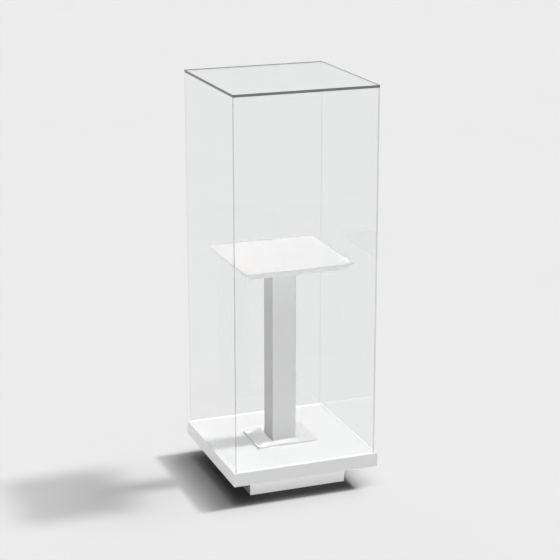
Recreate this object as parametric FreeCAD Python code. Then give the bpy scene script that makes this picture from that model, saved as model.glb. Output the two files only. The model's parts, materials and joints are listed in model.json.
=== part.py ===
"""Tall free-standing display case for one exhibit.

A clear acrylic hood drops over a slim steel pedestal and stands in a shallow groove of a
thick white deck, which floats over a smaller recessed plinth with four levelling feet.

Millimetres, +Z up. Origin at floor level, in the middle of the footprint.
+X is to the right along the front face, the front is -Y.
"""

import FreeCAD
import Part
import math
import os

V = FreeCAD.Vector

# ---------------------------------------------------------------- driving dimensions
# deck: the thick square slab that carries everything
DECK = 600.0             # outside width and depth
DECK_BOTTOM = 90.0       # underside above the floor
DECK_TOP = 145.0         # top above the floor
FASCIA_T = 16.0          # lacquered edge boards round the deck
LIP_T = 9.5              # what is left of their thickness beside the groove
SEAT_DEPTH = 7.0         # depth of the rebate in their upper inner corner: the hood's groove
BOARD_T = 18.0           # deck top board, base board and plinth boards
RAIL_W = 60.0            # width of the frame rails between the two deck boards
LACQUER_R = 1.0          # arris on the lacquered boards
GROOVE_ARRIS = 0.4

# plinth: the recessed foot
PLINTH = 400.0
BLOCK = 60.0             # corner blocks inside the plinth
BLOCK_BOTTOM = 20.0

# hood
HOOD = 580.0             # outside width and depth
HOOD_TOP = 1617.0        # top of the case above the floor
WALL_T = 5.0             # side sheets
TOP_T = 10.0             # top sheet
SEAL_T = 3.0             # seal strip at the bottom of the groove
SEAL_W = 4.0
HOOD_GAP = 0.3           # hood edge over the unloaded seal
POLISH = 0.6             # arris on the sheet edges

# pedestal
FOOT_X, FOOT_Y, FOOT_T = 250.0, 195.0, 8.0
COLUMN = 100.0           # square hollow section
COLUMN_WALL = 3.0
COLUMN_R = 3.0
WELD = 3.0               # leg of the weld round each end of the column
PLATFORM = 447.0         # top of the platform, square
PLATFORM_TOP = 915.0
PLATFORM_T = 30.0
PLATFORM_BEVEL = 28.5    # how far the undercut edge runs in
HEAD, HEAD_T = 160.0, 8.0

# M8 bolts that hold the pedestal down, from under the deck
BOLT_X, BOLT_Y = 85.0, 62.0
BOLT_R = 4.0
BOLT_LEN = 60.0
BOLT_HEAD_AF, BOLT_HEAD_H = 13.0, 5.3
WASHER_R, WASHER_T = 8.0, 1.6
BOLT_TIP = 151.0         # end of the thread, 2 mm short of the foot plate's top

# 5 mm screws that hold the platform to the head plate
PSCREW_XY = 65.0
PSCREW_R, PSCREW_LEN = 2.5, 25.0
PSCREW_HEAD_R, PSCREW_HEAD_H = 4.75, 3.0

# 6 mm screws that hold the plinth under the deck
KSCREW_R, KSCREW_LEN = 3.0, 80.0
KSCREW_HEAD_R, KSCREW_HEAD_H = 6.0, 3.5

# M10 levelling feet
FEET_XY = PLINTH / 2 - BOARD_T - BLOCK / 2   # on the middle of each corner block
STEM_R = 5.0
STEM_TOP = 62.0
STEM_BOTTOM = 5.3
COLLAR_AF, COLLAR_Z, COLLAR_H = 17.0, 11.3, 5.7
PAD_R, PAD_BOTTOM, PAD_RIM_TOP, PAD_TOP, PAD_NECK_R = 20.0, 1.0, 5.0, 11.0, 10.5
INSERT_R, INSERT_LEN, INSERT_FLANGE_R, INSERT_FLANGE_T = 6.98, 25.0, 11.0, 2.0
THREAD_CLEAR = 0.05

# ---------------------------------------------------------------- derived
D2, H2, P2 = DECK / 2, HOOD / 2, PLINTH / 2
F_IN = D2 - FASCIA_T                       # inner face of the fascia boards, and of the groove
LIP_IN = D2 - LIP_T                        # outer face of the groove
SEAT = DECK_TOP - SEAT_DEPTH               # bottom of the groove
BASE_TOP = DECK_BOTTOM + BOARD_T           # 108
PANEL_BOTTOM = DECK_TOP - BOARD_T          # 127
HOOD_BOTTOM = SEAT + SEAL_T + HOOD_GAP
WALL_TOP = HOOD_TOP - TOP_T
HEAD_TOP = PLATFORM_TOP - PLATFORM_T       # 885
HEAD_BOTTOM = HEAD_TOP - HEAD_T            # 877
FOOT_TOP = DECK_TOP + FOOT_T               # 153
BOLT_SEAT = BOLT_TIP - BOLT_LEN            # underside of the bolt heads' washers' lower face
FEET = {
    "front_left": (-FEET_XY, -FEET_XY),
    "front_right": (FEET_XY, -FEET_XY),
    "rear_left": (-FEET_XY, FEET_XY),
    "rear_right": (FEET_XY, FEET_XY),
}

os.makedirs("parts", exist_ok=True)
MADE = {}


def box(x0, x1, y0, y1, z0, z1):
    return Part.makeBox(x1 - x0, y1 - y0, z1 - z0, V(x0, y0, z0))


def cyl(r, z0, z1, x=0.0, y=0.0):
    return Part.makeCylinder(r, z1 - z0, V(x, y, z0))


def cone(r0, r1, z0, z1, x=0.0, y=0.0):
    return Part.makeCone(r0, r1, z1 - z0, V(x, y, z0))


def hexagon(af, z0, z1, x=0.0, y=0.0):
    r = af / 2 / math.cos(math.pi / 6)
    pts = [
        V(x + r * math.cos(math.pi / 3 * i), y + r * math.sin(math.pi / 3 * i), z0)
        for i in range(7)
    ]
    return Part.Face(Part.makePolygon(pts)).extrude(V(0, 0, z1 - z0))


def frustum(h0x, h0y, z0, h1x, h1y, z1):
    """A solid between two centred rectangles, given by their half sizes."""

    def ring(hx, hy, z):
        return Part.makePolygon(
            [V(-hx, -hy, z), V(hx, -hy, z), V(hx, hy, z), V(-hx, hy, z), V(-hx, -hy, z)]
        )

    return Part.makeLoft([ring(h0x, h0y, z0), ring(h1x, h1y, z1)], True, True)


def edges_at(shape, test):
    return [e for e in shape.Edges if test(e)]


def along_z(e):
    a, b = e.Vertexes[0].Point, e.Vertexes[-1].Point
    return abs(a.x - b.x) < 1e-6 and abs(a.y - b.y) < 1e-6


def at_z(e, z):
    return all(abs(v.Point.z - z) < 1e-6 for v in e.Vertexes)


def save(name, shape, solids=1):
    if shape.ShapeType != "Compound" or solids == 1:
        if len(shape.Solids) == 1:
            shape = shape.Solids[0]
    assert len(shape.Solids) == solids, (name, len(shape.Solids))
    assert shape.isValid(), name
    shape.exportStep(f"parts/{name}.step")
    MADE[name] = shape
    b = shape.BoundBox
    print(
        f"{name:28s} {solids:2d} {shape.Volume / 1e3:10.1f} cm3  "
        f"x {b.XMin:8.2f} {b.XMax:8.2f}  y {b.YMin:8.2f} {b.YMax:8.2f}  z {b.ZMin:8.2f} {b.ZMax:8.2f}"
    )


def mitred(ring, half):
    """Cuts a square ring of boards along its diagonals into front, rear, left and right."""
    far = half * 1.2
    z0, z1 = ring.BoundBox.ZMin - 1, ring.BoundBox.ZMax + 1
    out = {}
    for side, (ax, ay, bx, by) in {
        "front": (-far, -far, far, -far),
        "rear": (far, far, -far, far),
        "left": (-far, far, -far, -far),
        "right": (far, -far, far, far),
    }.items():
        tri = Part.Face(
            Part.makePolygon([V(0, 0, z0), V(ax, ay, z0), V(bx, by, z0), V(0, 0, z0)])
        ).extrude(V(0, 0, z1 - z0))
        out[side] = ring.common(tri)
    return out


# ---------------------------------------------------------------- deck
# Edge boards: one lacquered ring with a fine arris on every outer edge, rebated for the hood and
# mitred at the corners.
ring = box(-D2, D2, -D2, D2, DECK_BOTTOM, DECK_TOP)
ring = ring.makeFillet(LACQUER_R, ring.Edges)
ring = ring.cut(box(-F_IN, F_IN, -F_IN, F_IN, DECK_BOTTOM - 5, DECK_TOP + 5))
ring = ring.cut(box(-LIP_IN, LIP_IN, -LIP_IN, LIP_IN, SEAT, DECK_TOP + 5))
groove_edges = edges_at(
    ring,
    lambda e: at_z(e, DECK_TOP)
    and all(abs(max(abs(v.Point.x), abs(v.Point.y)) - LIP_IN) < 1e-6 for v in e.Vertexes),
)
ring = ring.makeChamfer(GROOVE_ARRIS, groove_edges)
for side, board in mitred(ring, D2).items():
    save(f"fascia_{side}", board)

# Top board of the deck: its edges are the inner side of the groove.
panel = box(-F_IN, F_IN, -F_IN, F_IN, PANEL_BOTTOM, DECK_TOP)
panel = panel.makeChamfer(GROOVE_ARRIS, edges_at(panel, lambda e: at_z(e, DECK_TOP)))
bolt_holes = [(sx * BOLT_X, sy * BOLT_Y) for sx in (-1, 1) for sy in (-1, 1)]
for x, y in bolt_holes:
    panel = panel.cut(cyl(BOLT_R + 0.4, PANEL_BOTTOM - 1, DECK_TOP + 1, x, y))
save("deck_top_board", panel)

# Frame rails between the two boards, butted at the corners.
IN = F_IN - RAIL_W
save("deck_rail_front", box(-F_IN, F_IN, -F_IN, -IN, BASE_TOP, PANEL_BOTTOM))
save("deck_rail_rear", box(-F_IN, F_IN, IN, F_IN, BASE_TOP, PANEL_BOTTOM))
save("deck_rail_left", box(-F_IN, -IN, -IN, IN, BASE_TOP, PANEL_BOTTOM))
save("deck_rail_right", box(IN, F_IN, -IN, IN, BASE_TOP, PANEL_BOTTOM))

# Solid block under the pedestal, so that the bolts can't crush the hollow deck.
block = box(-130, 130, -105, 105, BASE_TOP, PANEL_BOTTOM)
for x, y in bolt_holes:
    block = block.cut(cyl(BOLT_R + 0.4, BASE_TOP - 1, PANEL_BOTTOM + 1, x, y))
save("deck_core_block", block)

# Base board, with a shallow pocket for each washer and holes for the plinth's screws.
screw_xy = []
for name, (x, y) in FEET.items():
    sx, sy = (1 if x > 0 else -1), (1 if y > 0 else -1)
    screw_xy += [(x + 20 * sx, y - 20 * sy), (x - 20 * sx, y + 20 * sy)]
base = box(-F_IN, F_IN, -F_IN, F_IN, DECK_BOTTOM, BASE_TOP)
for x, y in bolt_holes:
    base = base.cut(cyl(BOLT_R + 0.4, DECK_BOTTOM - 1, BASE_TOP + 1, x, y))
    base = base.cut(cyl(11.0, DECK_BOTTOM - 1, BOLT_SEAT + WASHER_T, x, y))
for x, y in screw_xy:
    base = base.cut(cyl(KSCREW_R + 0.02, DECK_BOTTOM - 1, BLOCK_BOTTOM + KSCREW_LEN + 1, x, y))
save("deck_base_board", base)

# Seal strips on the bottom of the groove, under the hood's edges.
mid = H2 - WALL_T / 2
s0, s1 = mid - SEAL_W / 2, mid + SEAL_W / 2
z0, z1 = SEAT, SEAT + SEAL_T
save("hood_seal_front", box(-s1, s1, -s1, -s0, z0, z1))
save("hood_seal_rear", box(-s1, s1, s0, s1, z0, z1))
save("hood_seal_left", box(-s1, -s0, -s0, s0, z0, z1))
save("hood_seal_right", box(s0, s1, -s0, s0, z0, z1))

# ---------------------------------------------------------------- plinth
ring = box(-P2, P2, -P2, P2, 0, DECK_BOTTOM)
ring = ring.makeFillet(LACQUER_R, edges_at(ring, lambda e: not at_z(e, DECK_BOTTOM)))
i2 = P2 - BOARD_T
ring = ring.cut(box(-i2, i2, -i2, i2, -5, DECK_BOTTOM + 5))
for side, board in mitred(ring, P2).items():
    save(f"plinth_board_{side}", board)

for name, (x, y) in FEET.items():
    h = BLOCK / 2
    b = box(x - h, x + h, y - h, y + h, BLOCK_BOTTOM, DECK_BOTTOM)
    b = b.cut(cyl(7.0, BLOCK_BOTTOM - 1, DECK_BOTTOM + 1, x, y))
    for px, py in screw_xy:
        if abs(px - x) < h and abs(py - y) < h:
            b = b.cut(cyl(KSCREW_R + 0.02, BLOCK_BOTTOM - 1, DECK_BOTTOM + 1, px, py))
            b = b.cut(
                cone(
                    KSCREW_HEAD_R + 0.02,
                    KSCREW_R + 0.02,
                    BLOCK_BOTTOM,
                    BLOCK_BOTTOM + KSCREW_HEAD_H,
                    px,
                    py,
                )
            )
    save(f"plinth_block_{name}", b)

# Countersunk screws up through the blocks into the base board, each with a hexagon socket.
group = []
for x, y in screw_xy:
    s = cone(KSCREW_HEAD_R, KSCREW_R, BLOCK_BOTTOM, BLOCK_BOTTOM + KSCREW_HEAD_H, x, y)
    s = s.fuse(cyl(KSCREW_R, BLOCK_BOTTOM + KSCREW_HEAD_H, BLOCK_BOTTOM + KSCREW_LEN - 5, x, y))
    s = s.fuse(
        cone(KSCREW_R, 0.6, BLOCK_BOTTOM + KSCREW_LEN - 5, BLOCK_BOTTOM + KSCREW_LEN, x, y)
    )
    s = s.removeSplitter().cut(hexagon(4.0, BLOCK_BOTTOM - 1, BLOCK_BOTTOM + 2.5, x, y))
    group.append(s.Solids[0])
save("plinth_screws", Part.makeCompound(group), len(group))

# Flanged threaded inserts that the levelling feet screw into.
group = []
for x, y in FEET.values():
    s = cyl(INSERT_R, BLOCK_BOTTOM, BLOCK_BOTTOM + INSERT_LEN, x, y)
    s = s.fuse(cyl(INSERT_FLANGE_R, BLOCK_BOTTOM - INSERT_FLANGE_T, BLOCK_BOTTOM, x, y))
    s = s.removeSplitter().cut(
        cyl(STEM_R + THREAD_CLEAR, BLOCK_BOTTOM - 5, BLOCK_BOTTOM + INSERT_LEN + 5, x, y)
    )
    group.append(s.Solids[0])
save("leveller_inserts", Part.makeCompound(group), len(group))

# Levelling feet, wound right in: the plinth itself stands on the floor.
for name, (x, y) in FEET.items():
    stem = cyl(STEM_R, STEM_BOTTOM, STEM_TOP - 1, x, y)
    stem = stem.fuse(cone(STEM_R, STEM_R - 1, STEM_TOP - 1, STEM_TOP, x, y))
    collar = hexagon(COLLAR_AF, COLLAR_Z, COLLAR_Z + COLLAR_H, x, y)
    rim = cone(COLLAR_AF / 2 + 1.9, COLLAR_AF / 2 - 0.3, COLLAR_Z, COLLAR_Z + COLLAR_H, x, y)
    collar = collar.common(rim.fuse(cyl(COLLAR_AF / 2 + 0.4, COLLAR_Z, COLLAR_Z + COLLAR_H, x, y)))
    stem = stem.fuse(collar).removeSplitter()
    stem = stem.cut(hexagon(5.0, STEM_TOP - 6, STEM_TOP + 1, x, y))
    save(f"leveller_stem_{name}", stem)

    pad = cyl(PAD_R, PAD_BOTTOM, PAD_RIM_TOP, x, y)
    pad = pad.makeFillet(1.0, edges_at(pad, lambda e: len(e.Vertexes) == 1))
    pad = pad.fuse(cone(PAD_R - 2.5, PAD_NECK_R, PAD_RIM_TOP, PAD_TOP, x, y))
    pad = pad.cut(cyl(STEM_R + THREAD_CLEAR, PAD_RIM_TOP, PAD_TOP + 1, x, y))
    save(f"leveller_pad_{name}", pad)

# ---------------------------------------------------------------- hood
# Front and rear sheets run the full width; the side sheets fit between them; the top lies on all four.
o = H2
i = H2 - WALL_T


def sheet(x0, x1, y0, y1, z0, z1, test):
    s = box(x0, x1, y0, y1, z0, z1)
    return s.makeChamfer(POLISH, edges_at(s, test))


def outer_corner(e):
    return along_z(e) and abs(max(abs(e.Vertexes[0].Point.y), 0) - o) < 1e-6


def foot_edge(e):
    return at_z(e, HOOD_BOTTOM)


save(
    "hood_front_sheet",
    sheet(-o, o, -o, -i, HOOD_BOTTOM, WALL_TOP, outer_corner),
)
save(
    "hood_rear_sheet",
    sheet(-o, o, i, o, HOOD_BOTTOM, WALL_TOP, outer_corner),
)
save("hood_left_sheet", box(-o, -i, -i, i, HOOD_BOTTOM, WALL_TOP))
save("hood_right_sheet", box(i, o, -i, i, HOOD_BOTTOM, WALL_TOP))
top = box(-o, o, -o, o, WALL_TOP, HOOD_TOP)
top = top.makeChamfer(
    POLISH, edges_at(top, lambda e: along_z(e) or at_z(e, HOOD_TOP))
)
save("hood_top_sheet", top)

# ---------------------------------------------------------------- pedestal
foot = box(-FOOT_X / 2, FOOT_X / 2, -FOOT_Y / 2, FOOT_Y / 2, DECK_TOP, FOOT_TOP)
foot = foot.makeFillet(1.5, edges_at(foot, along_z))
foot = foot.makeChamfer(0.5, edges_at(foot, lambda e: at_z(e, FOOT_TOP)))
for x, y in bolt_holes:
    foot = foot.cut(cyl(BOLT_R + THREAD_CLEAR, DECK_TOP - 1, BOLT_TIP + 0.5, x, y))
save("pedestal_foot_plate", foot)

# Square hollow section, with the weld at each end.
c2 = COLUMN / 2
column = box(-c2, c2, -c2, c2, FOOT_TOP, HEAD_BOTTOM)
column = column.makeFillet(COLUMN_R, edges_at(column, along_z))
column = column.fuse(frustum(c2 + WELD, c2 + WELD, FOOT_TOP, c2 - 1, c2 - 1, FOOT_TOP + WELD + 1))
column = column.fuse(
    frustum(c2 - 1, c2 - 1, HEAD_BOTTOM - WELD - 1, c2 + WELD, c2 + WELD, HEAD_BOTTOM)
)
ci = c2 - COLUMN_WALL
bore = box(-ci, ci, -ci, ci, FOOT_TOP - 1, HEAD_BOTTOM + 1)
column = column.cut(bore)
save("pedestal_column", column.removeSplitter())

head = box(-HEAD / 2, HEAD / 2, -HEAD / 2, HEAD / 2, HEAD_BOTTOM, HEAD_TOP)
head = head.makeFillet(4.0, edges_at(head, along_z))
head_holes = [(sx * PSCREW_XY, sy * PSCREW_XY) for sx in (-1, 1) for sy in (-1, 1)]
for x, y in head_holes:
    head = head.cut(cyl(PSCREW_R + 0.25, HEAD_BOTTOM - 1, HEAD_TOP + 1, x, y))
save("pedestal_head_plate", head)

t2 = PLATFORM / 2
platform = frustum(
    t2 - PLATFORM_BEVEL, t2 - PLATFORM_BEVEL, HEAD_TOP, t2, t2, PLATFORM_TOP
)
platform = platform.makeFillet(0.5, edges_at(platform, lambda e: at_z(e, PLATFORM_TOP)))
for x, y in head_holes:
    platform = platform.cut(
        cyl(PSCREW_R + 0.02, HEAD_TOP - 1, HEAD_BOTTOM + PSCREW_LEN + 0.5, x, y)
    )
save("pedestal_platform", platform)

bolts, washers = [], []
for x, y in bolt_holes:
    b = hexagon(BOLT_HEAD_AF, BOLT_SEAT - BOLT_HEAD_H, BOLT_SEAT, x, y)
    b = b.common(cone(5.6, 8.6, BOLT_SEAT - BOLT_HEAD_H, BOLT_SEAT, x, y))
    b = b.fuse(cyl(BOLT_R, BOLT_SEAT, BOLT_TIP - 1, x, y))
    b = b.fuse(cone(BOLT_R, BOLT_R - 1, BOLT_TIP - 1, BOLT_TIP, x, y)).removeSplitter()
    bolts.append(b.Solids[0])
    w = cyl(WASHER_R, BOLT_SEAT, BOLT_SEAT + WASHER_T, x, y).cut(
        cyl(BOLT_R + 0.2, BOLT_SEAT - 1, BOLT_SEAT + WASHER_T + 1, x, y)
    )
    washers.append(w.Solids[0])
save("pedestal_bolts", Part.makeCompound(bolts), 4)
save("pedestal_washers", Part.makeCompound(washers), 4)

group = []
for x, y in head_holes:
    s = cyl(PSCREW_HEAD_R, HEAD_BOTTOM - PSCREW_HEAD_H, HEAD_BOTTOM, x, y)
    s = s.makeFillet(1.4, edges_at(s, lambda e: at_z(e, HEAD_BOTTOM - PSCREW_HEAD_H)))
    s = s.fuse(cyl(PSCREW_R, HEAD_BOTTOM, HEAD_BOTTOM + PSCREW_LEN - 4, x, y))
    s = s.fuse(
        cone(PSCREW_R, 0.5, HEAD_BOTTOM + PSCREW_LEN - 4, HEAD_BOTTOM + PSCREW_LEN, x, y)
    ).removeSplitter()
    s = s.cut(hexagon(3.0, HEAD_BOTTOM - PSCREW_HEAD_H - 1, HEAD_BOTTOM - 1.0, x, y))
    group.append(s.Solids[0])
save("platform_screws", Part.makeCompound(group), 4)

print(len(MADE), "nodes")
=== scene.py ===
"""Looks for the museum display case: materials, floor, light and camera.

Everything is in metres in the CAD frame: origin at floor level in the middle, front is -Y.
"""

import json
import math

import bpy
from mathutils import Matrix, Vector

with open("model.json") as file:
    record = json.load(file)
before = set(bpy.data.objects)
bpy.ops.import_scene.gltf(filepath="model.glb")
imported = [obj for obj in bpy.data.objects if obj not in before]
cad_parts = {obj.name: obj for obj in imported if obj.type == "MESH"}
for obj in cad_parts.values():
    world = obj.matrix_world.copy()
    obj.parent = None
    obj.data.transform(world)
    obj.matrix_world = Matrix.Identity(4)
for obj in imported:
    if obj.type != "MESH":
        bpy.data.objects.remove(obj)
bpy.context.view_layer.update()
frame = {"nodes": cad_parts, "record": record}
nodes = frame["nodes"]
scene = bpy.context.scene

# ---------------------------------------------------------------- camera
cam_data = bpy.data.cameras.new("camera")
cam = bpy.data.objects.new("camera", cam_data)
scene.collection.objects.link(cam)
scene.camera = cam
cam_data.sensor_width = 36.0
cam_data.lens = 109.12
cam_data.clip_start, cam_data.clip_end = 0.1, 90.0
YAW, PITCH, ROLL = math.radians(20.489), math.radians(16.724), math.radians(-0.038)
cam.location = (-2.2480, -6.0166, 2.7389)
fwd = Vector(
    (math.sin(YAW) * math.cos(PITCH), math.cos(YAW) * math.cos(PITCH), -math.sin(PITCH))
)
right = Vector((math.cos(YAW), -math.sin(YAW), 0.0))
up = right.cross(fwd)
rot = Matrix((right, up, -fwd)).transposed()
cam.rotation_mode = "QUATERNION"
cam.rotation_quaternion = (rot @ Matrix.Rotation(ROLL, 3, "Z")).to_quaternion()


# ---------------------------------------------------------------- node helpers
class Tree:
    """A material's node tree with short calls for the nodes used here."""

    def __init__(self, name):
        self.mat = bpy.data.materials.new(name)
        self.mat.use_nodes = True
        self.nt = self.mat.node_tree
        self.nt.nodes.clear()
        self.out = self.nt.nodes.new("ShaderNodeOutputMaterial")
        self._coord = None

    def node(self, kind, **props):
        n = self.nt.nodes.new(kind)
        for k, v in props.items():
            setattr(n, k, v)
        return n

    def link(self, a, b):
        self.nt.links.new(a, b)
        return a

    def set(self, socket, value):
        if isinstance(value, bpy.types.NodeSocket):
            self.nt.links.new(value, socket)
        else:
            socket.default_value = value

    def coord(self):
        if self._coord is None:
            self._coord = self.node("ShaderNodeTexCoord")
        return self._coord.outputs["Object"]

    def axes(self):
        s = self.node("ShaderNodeSeparateXYZ")
        self.link(self.coord(), s.inputs[0])
        return s.outputs

    def scaled(self, x, y, z):
        m = self.node("ShaderNodeMapping")
        self.link(self.coord(), m.inputs["Vector"])
        m.inputs["Scale"].default_value = (x, y, z)
        return m.outputs[0]

    def noise(self, scale, detail=2.0, rough=0.5, vector=None, distortion=0.0):
        n = self.node("ShaderNodeTexNoise")
        self.link(vector or self.coord(), n.inputs["Vector"])
        n.inputs["Scale"].default_value = scale
        n.inputs["Detail"].default_value = detail
        n.inputs["Roughness"].default_value = rough
        n.inputs["Distortion"].default_value = distortion
        return n.outputs["Fac"]

    def voronoi(self, scale, feature="F1", vector=None):
        n = self.node("ShaderNodeTexVoronoi", feature=feature)
        self.link(vector or self.coord(), n.inputs["Vector"])
        n.inputs["Scale"].default_value = scale
        return n.outputs["Distance"]

    def wave(self, scale, direction="Z", distortion=0.0, detail=0.0, vector=None):
        n = self.node("ShaderNodeTexWave", wave_type="BANDS", bands_direction=direction)
        self.link(vector or self.coord(), n.inputs["Vector"])
        n.inputs["Scale"].default_value = scale
        n.inputs["Distortion"].default_value = distortion
        n.inputs["Detail"].default_value = detail
        return n.outputs["Fac"]

    def math(self, op, a, b=0.0, c=0.0, clamp=False):
        n = self.node("ShaderNodeMath", operation=op, use_clamp=clamp)
        self.set(n.inputs[0], a)
        self.set(n.inputs[1], b)
        if op in ("MULTIPLY_ADD", "SMOOTH_MIN", "SMOOTH_MAX", "COMPARE"):
            self.set(n.inputs[2], c)
        return n.outputs[0]

    def span(self, value, lo, hi, to_lo=0.0, to_hi=1.0, smooth=False):
        n = self.node(
            "ShaderNodeMapRange",
            interpolation_type="SMOOTHSTEP" if smooth else "LINEAR",
            clamp=True,
        )
        self.set(n.inputs["Value"], value)
        n.inputs["From Min"].default_value = lo
        n.inputs["From Max"].default_value = hi
        n.inputs["To Min"].default_value = to_lo
        n.inputs["To Max"].default_value = to_hi
        return n.outputs["Result"]

    def blend(self, fac, a, b):
        n = self.node("ShaderNodeMix", data_type="RGBA")
        self.set(n.inputs["Factor"], fac)
        for socket, v in ((n.inputs[6], a), (n.inputs[7], b)):
            self.set(socket, (*v, 1) if isinstance(v, tuple) else v)
        return n.outputs[2]

    def bump(self, height, distance, strength=1.0, normal=None):
        n = self.node("ShaderNodeBump")
        self.set(n.inputs["Height"], height)
        n.inputs["Distance"].default_value = distance
        n.inputs["Strength"].default_value = strength
        if normal is not None:
            self.link(normal, n.inputs["Normal"])
        return n.outputs[0]

    def surface(self, shader):
        self.link(shader, self.out.inputs["Surface"])
        return self.mat

    def principled(self, colour, rough, normal=None, **plain):
        n = self.node("ShaderNodeBsdfPrincipled")
        self.set(n.inputs["Base Color"], (*colour, 1) if isinstance(colour, tuple) else colour)
        self.set(n.inputs["Roughness"], rough)
        if normal is not None:
            self.link(normal, n.inputs["Normal"])
        for k, v in plain.items():
            n.inputs[k.replace("_", " ")].default_value = v
        return n.outputs[0]

    def mix(self, fac, a, b):
        n = self.node("ShaderNodeMixShader")
        self.set(n.inputs[0], fac)
        self.link(a, n.inputs[1])
        self.link(b, n.inputs[2])
        return n.outputs[0]

    def transparent(self, colour):
        n = self.node("ShaderNodeBsdfTransparent")
        n.inputs[0].default_value = (*colour, 1)
        return n.outputs[0]


# ---------------------------------------------------------------- opaque materials
def lacquer(name, tone, scuffed=False, warm=0.0, groove=False):
    """Sprayed satin lacquer on board: faint orange peel, slow tone drift, tiny nibs of dust.

    groove: the sides of the hood's groove are painted near white, painted light that keeps the shaded groove
    as bright as the deck around it.
    """
    t = Tree(name)
    drift = t.noise(2.2, 3.0, 0.55)
    fine = t.noise(260.0, 2.0, 0.6)
    light = tuple(c * tone for c in (1.0, 1.0, 1.0 - warm))
    dark = tuple(c * tone * 0.982 for c in (1.0, 1.0, 1.002 - warm))
    colour = t.blend(t.span(drift, 0.3, 0.7), light, dark)
    colour = t.blend(t.span(fine, 0.62, 0.8, 0.0, 0.35), colour, tuple(tone * 0.955 for _ in range(3)))
    rough = t.math(
        "ADD",
        t.span(t.noise(5.0, 5.0, 0.6), 0.3, 0.7, 0.33, 0.43),
        t.span(fine, 0.4, 0.7, -0.01, 0.02),
    )
    if scuffed:
        z = t.axes()[2]
        low = t.span(z, 0.0, 0.022, 1.0, 0.0, smooth=True)
        marks = t.span(t.noise(38.0, 6.0, 0.7, vector=t.scaled(1.0, 1.0, 2.6)), 0.56, 0.7)
        mask = t.math("MULTIPLY", t.math("MULTIPLY", low, marks), 0.28)
        colour = t.blend(mask, colour, (0.33, 0.33, 0.32))
        rough = t.math("ADD", rough, t.math("MULTIPLY", mask, 0.5))
    # painted light: the groove's sides lie in shade and are painted near white so the groove reads as bright
    # as the deck
    if groove:
        x, y, z = t.axes()
        out = t.math("MAXIMUM", t.math("ABSOLUTE", x), t.math("ABSOLUTE", y))
        mask = t.math("LESS_THAN", t.math("ABSOLUTE", t.math("SUBTRACT", out, 0.28725)), 0.00345)
        mask = t.math("MULTIPLY", mask, t.math("GREATER_THAN", z, 0.1375))
        colour = t.blend(mask, colour, (0.97, 0.97, 0.97))
    peel = t.bump(t.noise(210.0, 2.0, 0.5), 0.00004, 0.55)
    nibs = t.span(t.voronoi(55.0), 0.0, 0.03, 1.0, 0.0, smooth=True)
    normal = t.bump(nibs, 0.00006, 0.35, peel)
    return t.surface(t.principled(colour, rough, normal, Specular_IOR_Level=0.45))


def powder(name, tone):
    """Fine-textured white powder coat on steel."""
    t = Tree(name)
    drift = t.noise(3.0, 3.0, 0.5)
    grain = t.noise(750.0, 3.0, 0.6)
    colour = t.blend(
        t.span(drift, 0.3, 0.7), (tone, tone, tone * 1.003), tuple(tone * 0.975 for _ in range(3))
    )
    colour = t.blend(t.span(grain, 0.3, 0.7, 0.0, 0.25), colour, tuple(tone * 0.94 for _ in range(3)))
    rough = t.span(t.noise(9.0, 4.0, 0.6), 0.3, 0.7, 0.44, 0.54)
    normal = t.bump(grain, 0.00006, 0.5)
    return t.surface(t.principled(colour, rough, normal, Specular_IOR_Level=0.4))


def fibreboard(name):
    """Raw medium-density fibreboard, with fine fibres and a cloudy tone."""
    t = Tree(name)
    fibre = t.noise(320.0, 5.0, 0.7, vector=t.scaled(1.0, 0.35, 1.6))
    cloud = t.noise(14.0, 4.0, 0.6)
    colour = t.blend(t.span(fibre, 0.3, 0.7), (0.47, 0.345, 0.215), (0.34, 0.24, 0.145))
    colour = t.blend(t.span(cloud, 0.35, 0.65, 0.0, 0.4), colour, (0.52, 0.4, 0.27))
    normal = t.bump(fibre, 0.00025, 0.6)
    return t.surface(t.principled(colour, t.span(cloud, 0.3, 0.7, 0.72, 0.85), normal))


def steel(name, threaded=False):
    """Bright zinc plate over turned steel."""
    t = Tree(name)
    streak = t.noise(900.0, 3.0, 0.6, vector=t.scaled(0.25, 0.25, 1.0))
    cloud = t.noise(60.0, 4.0, 0.6)
    colour = t.blend(t.span(cloud, 0.3, 0.7), (0.60, 0.62, 0.64), (0.50, 0.52, 0.50))
    colour = t.blend(t.span(t.noise(25.0, 3.0, 0.6), 0.55, 0.75, 0.0, 0.25), colour, (0.62, 0.58, 0.44))
    rough = t.math("ADD", t.span(streak, 0.3, 0.7, 0.24, 0.36), t.span(cloud, 0.3, 0.7, 0.0, 0.08))
    normal = t.bump(streak, 0.00002, 0.5)
    if threaded:
        normal = t.bump(t.wave(106.1), 0.0006, 0.9, normal)
    return t.surface(t.principled(colour, rough, normal, Metallic=1.0))


def nylon(name):
    """Moulded black glass-filled nylon."""
    t = Tree(name)
    grain = t.noise(650.0, 3.0, 0.55)
    cloud = t.noise(40.0, 3.0, 0.5)
    colour = t.blend(t.span(cloud, 0.3, 0.7), (0.018, 0.018, 0.019), (0.03, 0.03, 0.031))
    rough = t.span(grain, 0.3, 0.7, 0.48, 0.66)
    return t.surface(t.principled(colour, rough, t.bump(grain, 0.00006, 0.5)))


def silicone(name):
    """Soft translucent seal strip."""
    t = Tree(name)
    cloud = t.noise(45.0, 3.0, 0.5)
    colour = t.blend(t.span(cloud, 0.3, 0.7), (0.86, 0.865, 0.86), (0.80, 0.81, 0.805))
    rough = t.span(cloud, 0.3, 0.7, 0.5, 0.64)
    return t.surface(
        t.principled(
            colour,
            rough,
            t.bump(t.noise(420.0, 2.0, 0.5), 0.00004, 0.5),
            Subsurface_Weight=0.25,
            Subsurface_Scale=0.002,
        )
    )


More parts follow.
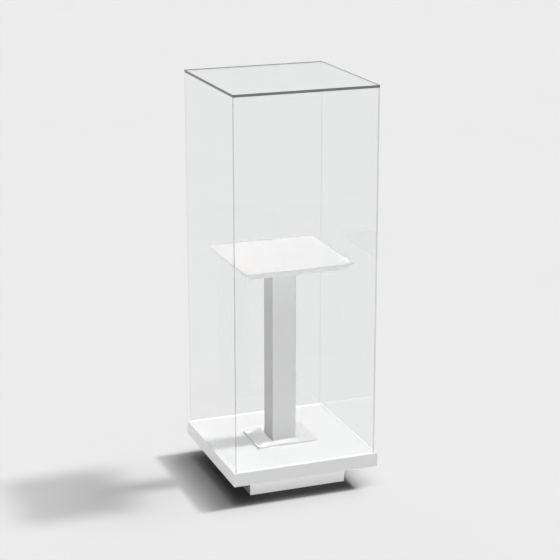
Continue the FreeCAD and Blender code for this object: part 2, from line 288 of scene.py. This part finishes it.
# ---------------------------------------------------------------- acrylic
AXIS = {"x": (1.0, 0.0, 0.0), "y": (0.0, 1.0, 0.0), "z": (0.0, 0.0, 1.0)}
PANE_TINT = (0.9832, 0.9868, 0.9848)
TOP_TINT = (0.985, 0.99, 0.987)
# painted shade: the grey on the pane edges stands in for how the polished acrylic edges reflect and bend the
# light
EDGE_PAINTED_SHADE = (0.5, 0.505, 0.5)
# painted shade: the dark greys and the near black below stand in for how the top sheet's polished edges
# reflect and bend the light
PAINTED_SHADE_TOP_EDGE = (0.28, 0.288, 0.284)
PAINTED_SHADE_TOP_END = (0.2, 0.208, 0.204)
PAINTED_SHADE_TOP_INSIDE = (0.03, 0.032, 0.031)
TOP_IOR = 1.12  # acrylic is 1.49; lower, so that the far edges stay as visible as they are on the real case


def facing(t, geometry, axis):
    """How squarely the surface faces along an axis, 0 to 1."""
    d = t.node("ShaderNodeVectorMath", operation="DOT_PRODUCT")
    t.link(geometry.outputs["True Normal"], d.inputs[0])
    d.inputs[1].default_value = AXIS[axis]
    return t.math("ABSOLUTE", d.outputs["Value"])


def scratches(t, stretch):
    """Hairline polishing marks: sparse thin streaks, stretched one way."""
    return t.span(
        t.noise(20.0, 8.0, 0.75, vector=t.scaled(*stretch), distortion=0.4), 0.62, 0.8
    )


def acrylic_pane(name, axis, near, far):
    """Clear cast sheet, thin enough that what is behind it isn't bent.

    The broad faces are a tint under a clear gloss. The sawn and polished edges are a veil of
    light grey, painted shade for how the polished edges reflect and bend the light: near is how dense
    it is seen from outside, far how dense it is seen through the sheet.
    """
    t = Tree(name)
    g = t.node("ShaderNodeNewGeometry")
    back = g.outputs["Backfacing"]
    level = t.math("GREATER_THAN", facing(t, g, "z"), 0.7)
    edge = t.math("LESS_THAN", facing(t, g, axis), 0.9)
    edge = t.math("SUBTRACT", edge, level, clamp=True)
    fres = t.node("ShaderNodeFresnel")
    fres.inputs["IOR"].default_value = 1.49
    shine = t.math("MULTIPLY", fres.outputs[0], t.math("SUBTRACT", 1.0, back))
    shine = t.math("MULTIPLY", shine, t.math("SUBTRACT", 1.0, level))
    hair = scratches(t, (6.0, 6.0, 0.25))
    haze = t.span(t.noise(3.0, 5.0, 0.6), 0.35, 0.7)
    rough = t.math("ADD", t.math("MULTIPLY", hair, 0.04), t.math("MULTIPLY_ADD", haze, 0.012, 0.006))
    gloss = t.node("ShaderNodeBsdfGlossy")
    gloss.inputs["Color"].default_value = (1, 1, 1, 1)
    t.set(gloss.inputs["Roughness"], rough)
    broad = t.mix(shine, t.transparent(PANE_TINT), gloss.outputs[0])
    cloud = t.noise(160.0, 3.0, 0.6, vector=t.scaled(1.0, 1.0, 0.5))
    # painted shade: the grey veil on the edges is denser seen from outside than seen through the sheet
    veil = t.math("MULTIPLY_ADD", back, far - near, near)
    veil = t.math("MULTIPLY", veil, t.span(cloud, 0.3, 0.7, 0.88, 1.12))
    rim = t.principled(EDGE_PAINTED_SHADE, t.span(cloud, 0.3, 0.7, 0.1, 0.25), Specular_IOR_Level=0.5)
    sides = t.mix(veil, t.transparent(PANE_TINT), rim)
    return t.surface(t.mix(edge, broad, sides))


def acrylic_top(name):
    """The thick top sheet: refracting, with polished edges painted dark grey, painted shade for how they
    reflect and bend the light: darker on the ends that face x, near black seen from inside.
    """
    t = Tree(name)
    g = t.node("ShaderNodeNewGeometry")
    edge = t.math("LESS_THAN", facing(t, g, "z"), 0.6)
    glass = t.node("ShaderNodeBsdfGlass")
    glass.inputs["IOR"].default_value = TOP_IOR
    glass.inputs["Color"].default_value = (*TOP_TINT, 1)
    hair = scratches(t, (0.3, 6.0, 1.0))
    t.set(glass.inputs["Roughness"], t.math("MULTIPLY", hair, 0.03))
    grain = t.noise(120.0, 3.0, 0.6, vector=t.scaled(1.0, 1.0, 0.3))
    # painted shade: the ends facing x get a darker grey than the front and back edges, and the edges seen
    # from inside are near black
    ends = t.math("GREATER_THAN", facing(t, g, "x"), 0.6)
    outside = t.blend(ends, PAINTED_SHADE_TOP_EDGE, PAINTED_SHADE_TOP_END)
    outside = t.blend(t.span(grain, 0.3, 0.7, 0.0, 0.1), outside, (0.05, 0.052, 0.051))
    colour = t.blend(g.outputs["Backfacing"], outside, PAINTED_SHADE_TOP_INSIDE)
    rim = t.principled(colour, t.span(grain, 0.3, 0.7, 0.12, 0.22), Specular_IOR_Level=0.5)
    return t.surface(t.mix(edge, glass.outputs[0], rim))


# ---------------------------------------------------------------- assignment
made = {
    "white_lacquer": lacquer("white_lacquer", 0.80),
    "deck_lacquer": lacquer("deck_lacquer", 0.80, groove=True),
    "plinth_lacquer": lacquer("plinth_lacquer", 0.80, scuffed=True),
    "raw_board": fibreboard("raw_board"),
    "white_powder_coat": powder("white_powder_coat", 0.80),
    # painted light: the column's powder coat, made lighter on the foot plate so the plate under the platform
    # reads as bright as the deck
    "foot_plate_coat_painted_light": powder("foot_plate_coat_painted_light", 0.84),
    "white_satin_platform": lacquer("platform_lacquer", 0.82),
    "clear_silicone": silicone("clear_silicone"),
    "zinc_steel": steel("zinc_steel"),
    "zinc_thread": steel("zinc_thread", threaded=True),
    "black_nylon": nylon("black_nylon"),
    "hood_front_sheet": acrylic_pane("clear_acrylic_front", "y", 0.33, 0.42),
    "hood_rear_sheet": acrylic_pane("clear_acrylic_rear", "y", 0.33, 0.12),
    "hood_left_sheet": acrylic_pane("clear_acrylic_left", "x", 0.33, 0.08),
    "hood_right_sheet": acrylic_pane("clear_acrylic_right", "x", 0.33, 0.08),
    "hood_top_sheet": acrylic_top("clear_acrylic_top"),
}
slot_of = {s["node"]: s["material_slot"] for s in frame["record"]["subparts"]}
case = bpy.data.collections.new("case")
scene.collection.children.link(case)
for n, o in nodes.items():
    key = slot_of[n]
    if key == "clear_acrylic":
        key = n
        o.visible_shadow = False
    elif n.startswith("plinth_board"):
        key = "plinth_lacquer"
    elif n.startswith(("fascia", "deck_top_board")):
        key = "deck_lacquer"
    # the foot plate gets the lighter copy of the powder coat, which is painted light
    elif n == "pedestal_foot_plate":
        key = "foot_plate_coat_painted_light"
    elif n.startswith("leveller_stem"):
        key = "zinc_thread"
    o.data.materials.clear()
    o.data.materials.append(made[key])
    case.objects.link(o)

# ---------------------------------------------------------------- floor
t = Tree("studio_floor")
tone = t.blend(t.span(t.noise(0.8, 2.0, 0.5), 0.3, 0.7), (0.1, 0.1, 0.1), (0.0993, 0.0993, 0.0993))
d = t.node("ShaderNodeBsdfDiffuse")
t.link(tone, d.inputs["Color"])
floor_mat = t.surface(d.outputs[0])
bpy.ops.mesh.primitive_plane_add(size=160, location=(0, 0, 0))
floor = bpy.context.object
floor.name = "floor"
floor.data.materials.append(floor_mat)
ground = bpy.data.collections.new("ground")
scene.collection.children.link(ground)
ground.objects.link(floor)


# ---------------------------------------------------------------- light
def group(name, *starts):
    c = bpy.data.collections.new(name)
    scene.collection.children.link(c)
    for n, o in nodes.items():
        if n.startswith(starts):
            c.objects.link(o)
    return c


low = group("low", "fascia", "plinth_board", "deck_base_board", "deck_top_board")
slab = group("slab", "fascia")
foot = group("foot", "plinth_board", "deck_base_board")
top_faces = group("top_faces", "deck_top_board", "fascia", "hood_seal")
foot_plate = group("foot_plate", "pedestal_foot_plate")
platform = group("platform", "pedestal_platform")
groove_walls = group("groove_walls", "deck_top_board", "fascia_rear")
stand = group("stand", "pedestal")


def sun(name, value, towards, angle, receivers, blockers=None, shadow=True):
    """A distant lamp that lights one group. value is how bright it alone makes a white face square to it."""
    data = bpy.data.lights.new(name, "SUN")
    data.energy = math.pi * value
    data.angle = math.radians(angle)
    data.use_shadow = shadow
    o = bpy.data.objects.new(name, data)
    scene.collection.objects.link(o)
    o.rotation_mode = "QUATERNION"
    o.rotation_quaternion = (-Vector(towards).normalized()).to_track_quat("Z", "Y")
    o.light_linking.receiver_collection = receivers
    if blockers is not None:
        o.light_linking.blocker_collection = blockers
    return o


KEY = (-1.0, 0.053, -1.04)
# floor: a hard key, a soft overhead strip that leans right, and a little light from behind;
# (towards x, y at a unit drop, angle, value, whether only the deck and plinth shade it)
for i, (tx, ty, angle, value, low_only) in enumerate(
    (
        (-0.962, 0.051, 7, 0.366, False),
        (-0.7, 0.0, 18, 0.137, False),
        (-0.7, -0.3, 18, 0.025, False),
        (0.0, 0.0, 18, 0.022, False),
        (0.0, -1.43, 50, 0.048, False),
        (0.35, 0.15, 16, 0.040, True),
        (0.0, 0.15, 16, 0.0735, True),
        (0.0, 0.45, 16, 0.026, True),
        (-0.35, 0.15, 16, 0.080, True),
        (-0.35, 0.45, 16, 0.040, True),
        (-0.7, 0.15, 16, 0.100, True),
        (-0.7, -0.45, 16, 0.076, True),
    )
):
    sun(f"floor_{i}", value * 10.0, (tx, ty, -1.0), angle, ground, low if low_only else None)

sun("case_key", 0.74, KEY, 9, case)
sun("case_up", 0.40, (0, 0, 1), 1, case, shadow=False)
sun("case_rear", 0.45, (0, -1, 0), 1, case, shadow=False)
sun("top_faces", 0.39, (0, 0, -1), 1, top_faces, shadow=False)
sun("plate_top", 0.36, (0, 0, -1), 1, foot_plate, shadow=False)
sun("platform_top", 0.35, (0, 0, -1), 1, platform, shadow=False)
sun("slab_front", 0.26, (0, 1, 0), 1, slab, shadow=False)
sun("foot_front", 0.55, (0, 1, 0), 1, foot, shadow=False)
sun("stand_front", 0.44, (0, 1, 0), 30, stand)
sun("slab_left", 0.38, (1, 0, 0), 1, low, shadow=False)
# light that reaches the hood's narrow white groove through the clear sheets
sun("groove_front", 0.75, (0, 1, 0), 1, groove_walls, shadow=False)

world = bpy.data.worlds.new("studio")
scene.world = world
world.use_nodes = True
wn = world.node_tree.nodes
wl = world.node_tree.links
wn.clear()
w_out = wn.new("ShaderNodeOutputWorld")
sky = wn.new("ShaderNodeBackground")
sky.inputs["Color"].default_value = (1, 1, 1, 1)
sky.inputs["Strength"].default_value = 0.15
seen = wn.new("ShaderNodeBackground")
seen.inputs["Color"].default_value = (1, 1, 1, 1)
seen.inputs["Strength"].default_value = 0.842
path = wn.new("ShaderNodeLightPath")
w_mix = wn.new("ShaderNodeMixShader")
wl.new(path.outputs["Is Diffuse Ray"], w_mix.inputs[0])
wl.new(seen.outputs[0], w_mix.inputs[1])
wl.new(sky.outputs[0], w_mix.inputs[2])
wl.new(w_mix.outputs[0], w_out.inputs["Surface"])
scene.view_settings.view_transform = "Standard"
